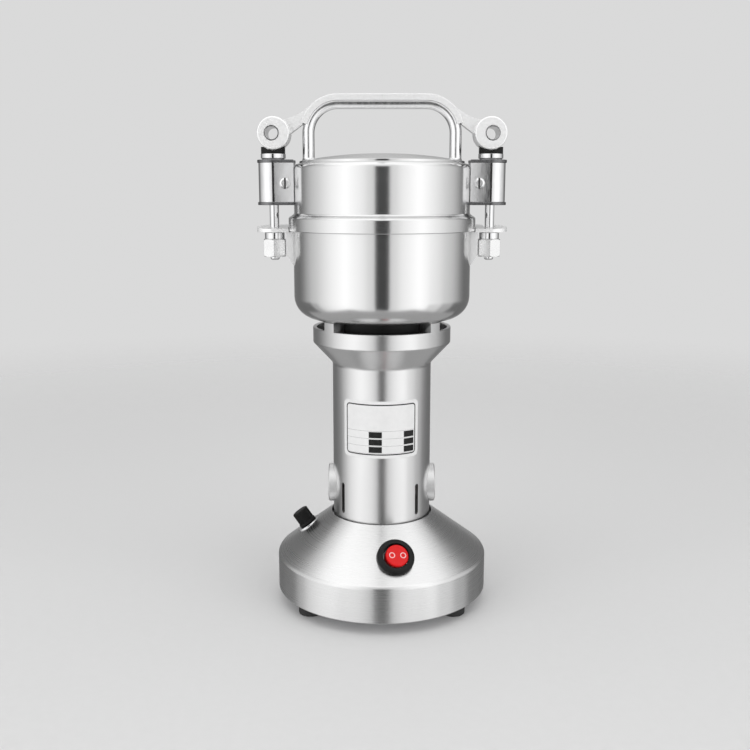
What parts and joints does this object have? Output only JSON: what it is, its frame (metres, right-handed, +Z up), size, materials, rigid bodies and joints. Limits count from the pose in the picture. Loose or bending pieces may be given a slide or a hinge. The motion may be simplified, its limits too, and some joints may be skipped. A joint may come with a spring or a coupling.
{
  "type": "electric grinder",
  "caption": "Free-standing electric grain grinder: motor column on a round base, steel bowl with cutting blades, and a swing-away lid clamped by cam levers.",
  "frame": {"origin": "on the floor under the column's axis", "axes": "+Z up along the column, -Y to the switch in front, +X to the right with the latch"},
  "size_m": [0.1348, 0.1202, 0.2776],
  "materials": {
    "brushed_shell": "satin, brushed round the axis",
    "cast_housing": "satin",
    "polished_steel": "polished",
    "plain_steel": "plain",
    "laminations": "plain",
    "copper": "enamelled wire",
    "brass": "plain",
    "carbon": "matt",
    "black_rubber": "matt",
    "pale_silicone": "matt",
    "black_plastic": "satin",
    "red_plastic": "glossy",
    "glass": "clear"
  },
  "bodies": {
    "stand": {"base_shell": "brushed_shell", "base_plate": "plain_steel", "rubber_feet": "black_rubber", "foot_screws": "plain_steel", "cord_grommet": "black_rubber", "column_clamp_ring": "plain_steel", "motor_housing": "cast_housing", "motor_cover": "black_plastic", "upper_bearing": "plain_steel", "lower_bearing": "plain_steel", "lower_bearing_bracket": "plain_steel", "stator_core": "laminations", "field_coils": "copper", "brush_holders": "brass", "carbon_brushes": "carbon", "brush_springs": "plain_steel", "brush_caps": "cast_housing", "switch_housing": "black_plastic", "fuse_holder": "black_plastic", "fuse_washer": "polished_steel", "grinding_bowl": "brushed_shell", "rim_band": "brushed_shell", "hinge_ear": "polished_steel", "latch_ear": "polished_steel", "bowl_screws": "plain_steel", "shaft_seal": "black_rubber"},
    "rotor": {"motor_shaft": "plain_steel", "armature_core": "laminations", "armature_windings": "copper", "commutator": "copper", "cooling_fan": "black_plastic", "lower_blade": "plain_steel", "blade_spacer": "plain_steel", "upper_blade": "plain_steel", "blade_nut": "plain_steel"},
    "lid": {"lid_shell": "brushed_shell", "lid_gasket": "pale_silicone", "carry_handle": "polished_steel", "hinge_bracket": "polished_steel", "latch_bracket": "polished_steel", "guide_blocks": "plain_steel", "bracket_end_plates": "polished_steel", "bracket_screws": "polished_steel", "hinge_rod": "plain_steel", "latch_rod": "plain_steel", "cam_pins": "polished_steel", "cam_washers": "polished_steel", "cam_saddles": "black_plastic", "rod_collars": "plain_steel", "rod_nuts": "plain_steel"},
    "left_lever": {"left_cam_lever": "polished_steel"},
    "right_lever": {"right_cam_lever": "polished_steel"},
    "rocker": {"switch_rocker": "red_plastic"},
    "fuse": {"fuse_cap": "black_plastic", "fuse_link": "glass"}
  },
  "joints": [
    {"name": "rotor_spin", "type": "hinge", "parent": "stand", "child": "rotor", "pos_m": [0, 0, 0.1], "axis": [0, 0, 1], "continuous": true},
    {"name": "lid_swing", "type": "hinge", "parent": "stand", "child": "lid", "pos_m": [-0.058, 0, 0.2], "axis": [0, 0, 1], "range_deg": [0, 120]},
    {"name": "left_lever_flip", "type": "hinge", "parent": "lid", "child": "left_lever", "pos_m": [-0.058, 0, 0.25725], "axis": [0, -1, 0], "range_deg": [0, 110]},
    {"name": "right_lever_flip", "type": "hinge", "parent": "lid", "child": "right_lever", "pos_m": [0.058, 0, 0.25725], "axis": [0, 1, 0], "range_deg": [0, 110]},
    {"name": "rocker_tilt", "type": "hinge", "parent": "stand", "child": "rocker", "pos_m": [0.00678, -0.04378, 0.03645], "axis": [0.1247, -0.8055, -0.5793], "range_deg": [0, 14]},
    {"name": "fuse_cap_turn", "type": "hinge", "parent": "stand", "child": "fuse", "pos_m": [-0.04177, 0.00439, 0.03808], "axis": [-0.5761, 0.0606, 0.8151], "range_deg": [0, 90]}
  ]
}
